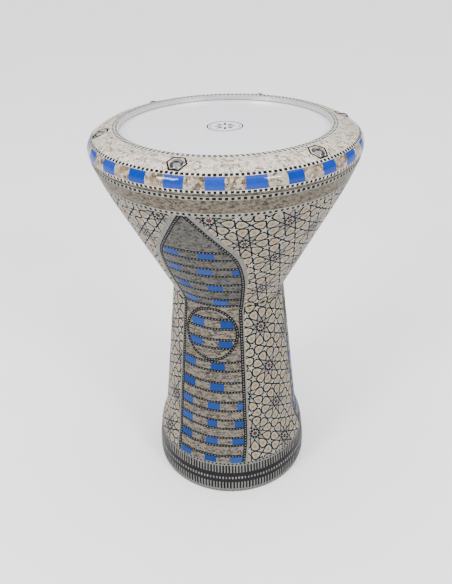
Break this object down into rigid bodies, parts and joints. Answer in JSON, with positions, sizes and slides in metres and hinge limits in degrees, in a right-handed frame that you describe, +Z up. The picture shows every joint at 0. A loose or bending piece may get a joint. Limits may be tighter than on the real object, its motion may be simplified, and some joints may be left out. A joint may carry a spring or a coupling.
{
  "type": "goblet drum",
  "caption": "Metal goblet drum with a screwed tuning ring, a film head, an open foot and a glossy inlaid veneer of pearl, blue tiles and star patterns.",
  "frame": {"origin": "centre of the foot's rim, on the surface that the drum stands on", "axes": "+Z up along the drum's axis from the open foot to the head; -Y is the side with the pointed panel that faces the viewer, turned 18.6 degrees towards -X"},
  "size_m": [0.2848, 0.2848, 0.44],
  "materials": {
    "cast_aluminium": "satin",
    "insert_brass": "satin",
    "drum_film": "semi-gloss",
    "drum_film_edge": "semi-gloss",
    "hoop_aluminium": "satin",
    "ring_aluminium": "satin",
    "washer_steel": "brushed",
    "polished_steel": "polished",
    "mouth_checker": "glossy resin",
    "top_pearl": "glossy resin",
    "hexagon_black": "glossy resin",
    "hexagon_cream": "glossy resin",
    "dot_strip_ring": "glossy resin",
    "band_pearl": "glossy resin",
    "blue_tile_ring": "glossy resin",
    "edge_pearl": "glossy resin",
    "dot_strip_shell": "glossy resin",
    "collar_pearl": "glossy resin",
    "star_inlay": "glossy resin",
    "chain_black": "glossy resin",
    "panel_pearl": "glossy resin",
    "blue_tile_panel": "glossy resin",
    "dot_strip_foot": "glossy resin",
    "stripe_inlay": "glossy resin",
    "groove_black": "glossy resin",
    "bead_inlay": "glossy resin",
    "foot_edge_inlay": "glossy resin"
  },
  "bodies": {
    "shell": {"shell": "cast_aluminium", "threaded_inserts": "insert_brass", "drumhead_film": "drum_film", "head_collar": "drum_film_edge", "head_hoop": "hoop_aluminium", "collar_dots": "dot_strip_shell", "collar_band": "collar_pearl", "cone_dots": "dot_strip_shell", "star_panels": "star_inlay", "panel_frames": "chain_black", "panel_chain_lines": "chain_black", "panel_pearl": "panel_pearl", "arch_pearl": "panel_pearl", "medallion_pearl": "panel_pearl", "panel_blue_tiles": "blue_tile_panel", "medallion_rings": "chain_black", "foot_dots": "dot_strip_foot", "foot_upper_stripes": "stripe_inlay", "foot_upper_groove": "groove_black", "foot_dash_bead": "bead_inlay", "foot_lower_groove": "groove_black", "foot_lower_stripes": "stripe_inlay", "foot_edge_strip": "foot_edge_inlay"},
    "tuning_ring": {"tuning_ring": "ring_aluminium", "bolt_washers": "washer_steel", "ring_mouth_checker": "mouth_checker", "ring_top_veneer": "top_pearl", "hex_borders": "hexagon_black", "hex_fields": "hexagon_cream", "ring_upper_dots": "dot_strip_ring", "ring_band_pearl": "band_pearl", "ring_band_blue": "blue_tile_ring", "ring_lower_dots": "dot_strip_ring", "ring_edge_strip": "edge_pearl"},
    "tension_bolt_1": {"tension_bolt_1": "polished_steel"},
    "tension_bolt_2": {"tension_bolt_2": "polished_steel"},
    "tension_bolt_3": {"tension_bolt_3": "polished_steel"},
    "tension_bolt_4": {"tension_bolt_4": "polished_steel"},
    "tension_bolt_5": {"tension_bolt_5": "polished_steel"},
    "tension_bolt_6": {"tension_bolt_6": "polished_steel"}
  },
  "joints": [
    {"name": "ring_lift", "type": "slide", "parent": "shell", "child": "tuning_ring", "axis": [0, 0, 1], "range_m": [0, 0.006]},
    {"name": "bolt_turn_1", "type": "hinge", "parent": "tuning_ring", "child": "tension_bolt_1", "pos_m": [-0.04273, -0.12066, 0.4354], "axis": [0, 0, 1], "range_deg": [0, 2160.1]},
    {"name": "bolt_turn_2", "type": "hinge", "parent": "tuning_ring", "child": "tension_bolt_2", "pos_m": [0.08313, -0.09733, 0.4354], "axis": [0, 0, 1], "range_deg": [0, 2160.1]},
    {"name": "bolt_turn_3", "type": "hinge", "parent": "tuning_ring", "child": "tension_bolt_3", "pos_m": [0.12586, 0.02333, 0.4354], "axis": [0, 0, 1], "range_deg": [0, 2160.1]},
    {"name": "bolt_turn_4", "type": "hinge", "parent": "tuning_ring", "child": "tension_bolt_4", "pos_m": [0.04273, 0.12066, 0.4354], "axis": [0, 0, 1], "range_deg": [0, 2160.1]},
    {"name": "bolt_turn_5", "type": "hinge", "parent": "tuning_ring", "child": "tension_bolt_5", "pos_m": [-0.08313, 0.09733, 0.4354], "axis": [0, 0, 1], "range_deg": [0, 2160.1]},
    {"name": "bolt_turn_6", "type": "hinge", "parent": "tuning_ring", "child": "tension_bolt_6", "pos_m": [-0.12586, -0.02333, 0.4354], "axis": [0, 0, 1], "range_deg": [0, 2160.1]}
  ],
  "couplings": [
    {"joint": "bolt_turn_1", "follows": "ring_lift", "rad_per_m": 6283.2},
    {"joint": "bolt_turn_2", "follows": "ring_lift", "rad_per_m": 6283.2},
    {"joint": "bolt_turn_3", "follows": "ring_lift", "rad_per_m": 6283.2},
    {"joint": "bolt_turn_4", "follows": "ring_lift", "rad_per_m": 6283.2},
    {"joint": "bolt_turn_5", "follows": "ring_lift", "rad_per_m": 6283.2},
    {"joint": "bolt_turn_6", "follows": "ring_lift", "rad_per_m": 6283.2}
  ]
}
